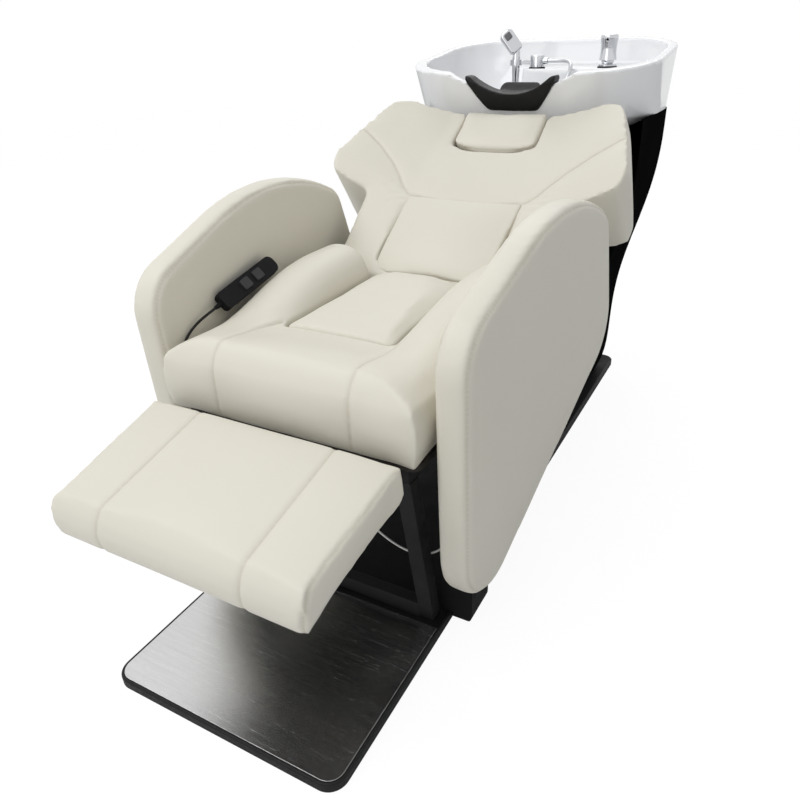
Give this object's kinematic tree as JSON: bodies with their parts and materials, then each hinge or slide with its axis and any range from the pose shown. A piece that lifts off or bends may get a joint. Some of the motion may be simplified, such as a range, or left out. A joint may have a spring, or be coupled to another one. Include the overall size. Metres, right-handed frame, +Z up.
{
  "type": "shampoo backwash unit with reclining chair",
  "caption": "Electric salon backwash unit: reclining upholstered chair with folding leg rest, ceramic basin on a black cowl, mixer, hand shower, steel foot plate.",
  "frame": {"origin": "middle of the floor plate's underside, on the floor", "axes": "+Z up, the sitter faces -Y, the basin is at +Y, +X is the sitter's left"},
  "size_m": [0.7212, 1.7512, 1.0066],
  "materials": {
    "cream_leather": "semi-matt upholstery leather",
    "stainless": "brushed",
    "bright_steel": "ground",
    "black_metal": "satin black powder coat",
    "black_plastic": "satin moulded",
    "black_rubber": "satin",
    "plywood": "black-stained plywood",
    "white_glaze": "glossy glaze",
    "chrome": "polished",
    "grey_plastic": "satin",
    "white_plastic": "satin",
    "silver_hose": "smooth silver"
  },
  "bodies": {
    "base": {"floor_plate": "black_metal", "floor_trim": "black_rubber", "foot_plate": "stainless", "floor_boards": "black_plastic", "frame_posts": "black_metal", "seat_frame": "black_metal", "seat_board": "plywood", "arm_pad_left": "cream_leather", "arm_pad_right": "cream_leather", "arm_spacers": "bright_steel", "side_feet": "black_plastic", "seat_cushion": "cream_leather", "seat_insert": "cream_leather", "hinge_brackets": "black_metal", "hinge_pins": "bright_steel", "leg_drive": "black_plastic", "back_drive": "black_plastic", "control_box": "black_plastic", "mains_inlet": "black_plastic", "actuator_lead": "white_plastic", "cord_glands": "black_plastic", "handset_cover": "black_plastic", "handset_base": "black_plastic", "handset_cord": "black_rubber", "cowl_door": "black_plastic", "rear_cowl": "black_plastic", "basin": "white_glaze", "neck_rest": "black_rubber", "basin_posts": "black_metal", "drain_flange": "chrome", "drain_tail": "chrome", "mixer_base": "chrome", "tap_seals": "black_rubber", "hose_outlet": "chrome", "wand_holder": "chrome", "shower_hose": "silver_hose"},
    "leg_rest": {"leg_rest_cushion": "cream_leather", "leg_rest_board": "plywood", "leg_rest_arms": "black_metal"},
    "leg_rod": {"leg_push_rod": "bright_steel", "leg_roller": "black_plastic"},
    "backrest": {"back_cushion": "cream_leather", "lumbar_pad": "cream_leather", "head_pad": "cream_leather", "back_board": "plywood", "back_cover": "black_plastic", "back_hinge_plates": "black_metal", "back_frame": "black_metal", "cover_screws": "bright_steel"},
    "back_rod": {"back_push_rod": "bright_steel", "back_roller": "black_plastic"},
    "lower_key": {"key_lower": "grey_plastic"},
    "raise_key": {"key_raise": "grey_plastic"},
    "mixer_swivel": {"mixer_dome": "chrome"},
    "mixer_lever": {"mixer_handle": "chrome", "mixer_plug": "black_plastic"},
    "hand_wand": {"wand": "chrome", "wand_key": "grey_plastic"},
    "strainer": {"drain_strainer": "chrome"}
  },
  "joints": [
    {"name": "leg_rest_fold", "type": "hinge", "parent": "base", "child": "leg_rest", "pos_m": [0, -0.598, 0.405], "axis": [1, 0, 0], "range_deg": [-12, 68]},
    {"name": "leg_rod_slide", "type": "slide", "parent": "base", "child": "leg_rod", "axis": [0, 1, 0], "range_m": [-0.016, 0.089]},
    {"name": "back_recline", "type": "hinge", "parent": "base", "child": "backrest", "pos_m": [0, -0.025, 0.515], "axis": [1, 0, 0], "range_deg": [0, 36]},
    {"name": "back_rod_slide", "type": "slide", "parent": "base", "child": "back_rod", "axis": [0, 1, 0], "range_m": [0, 0.085]},
    {"name": "lower_key_press", "type": "slide", "parent": "base", "child": "lower_key", "axis": [-0.766, 0.1226, -0.631], "range_m": [0, 0.0012], "stiffness_N_per_m": 400},
    {"name": "raise_key_press", "type": "slide", "parent": "base", "child": "raise_key", "axis": [-0.766, 0.1226, -0.631], "range_m": [0, 0.0012], "stiffness_N_per_m": 400},
    {"name": "mixer_turn", "type": "hinge", "parent": "base", "child": "mixer_swivel", "pos_m": [0.155, 0.715, 0.925], "axis": [0, 0, 1], "range_deg": [-45, 45]},
    {"name": "mixer_lift", "type": "hinge", "parent": "mixer_swivel", "child": "mixer_lever", "pos_m": [0.155, 0.715, 0.925], "axis": [-1, 0, 0], "range_deg": [0, 14]},
    {"name": "wand_lift", "type": "slide", "parent": "base", "child": "hand_wand", "axis": [0, 0, 1], "range_m": [0, 0.04]},
    {"name": "strainer_lift", "type": "slide", "parent": "base", "child": "strainer", "axis": [0, 0, 1], "range_m": [0, 0.03]}
  ],
  "couplings": [
    {"joint": "leg_rod_slide", "follows": "leg_rest_fold", "m_per_rad": 0.0745},
    {"joint": "back_rod_slide", "follows": "back_recline", "m_per_rad": 0.1345}
  ]
}
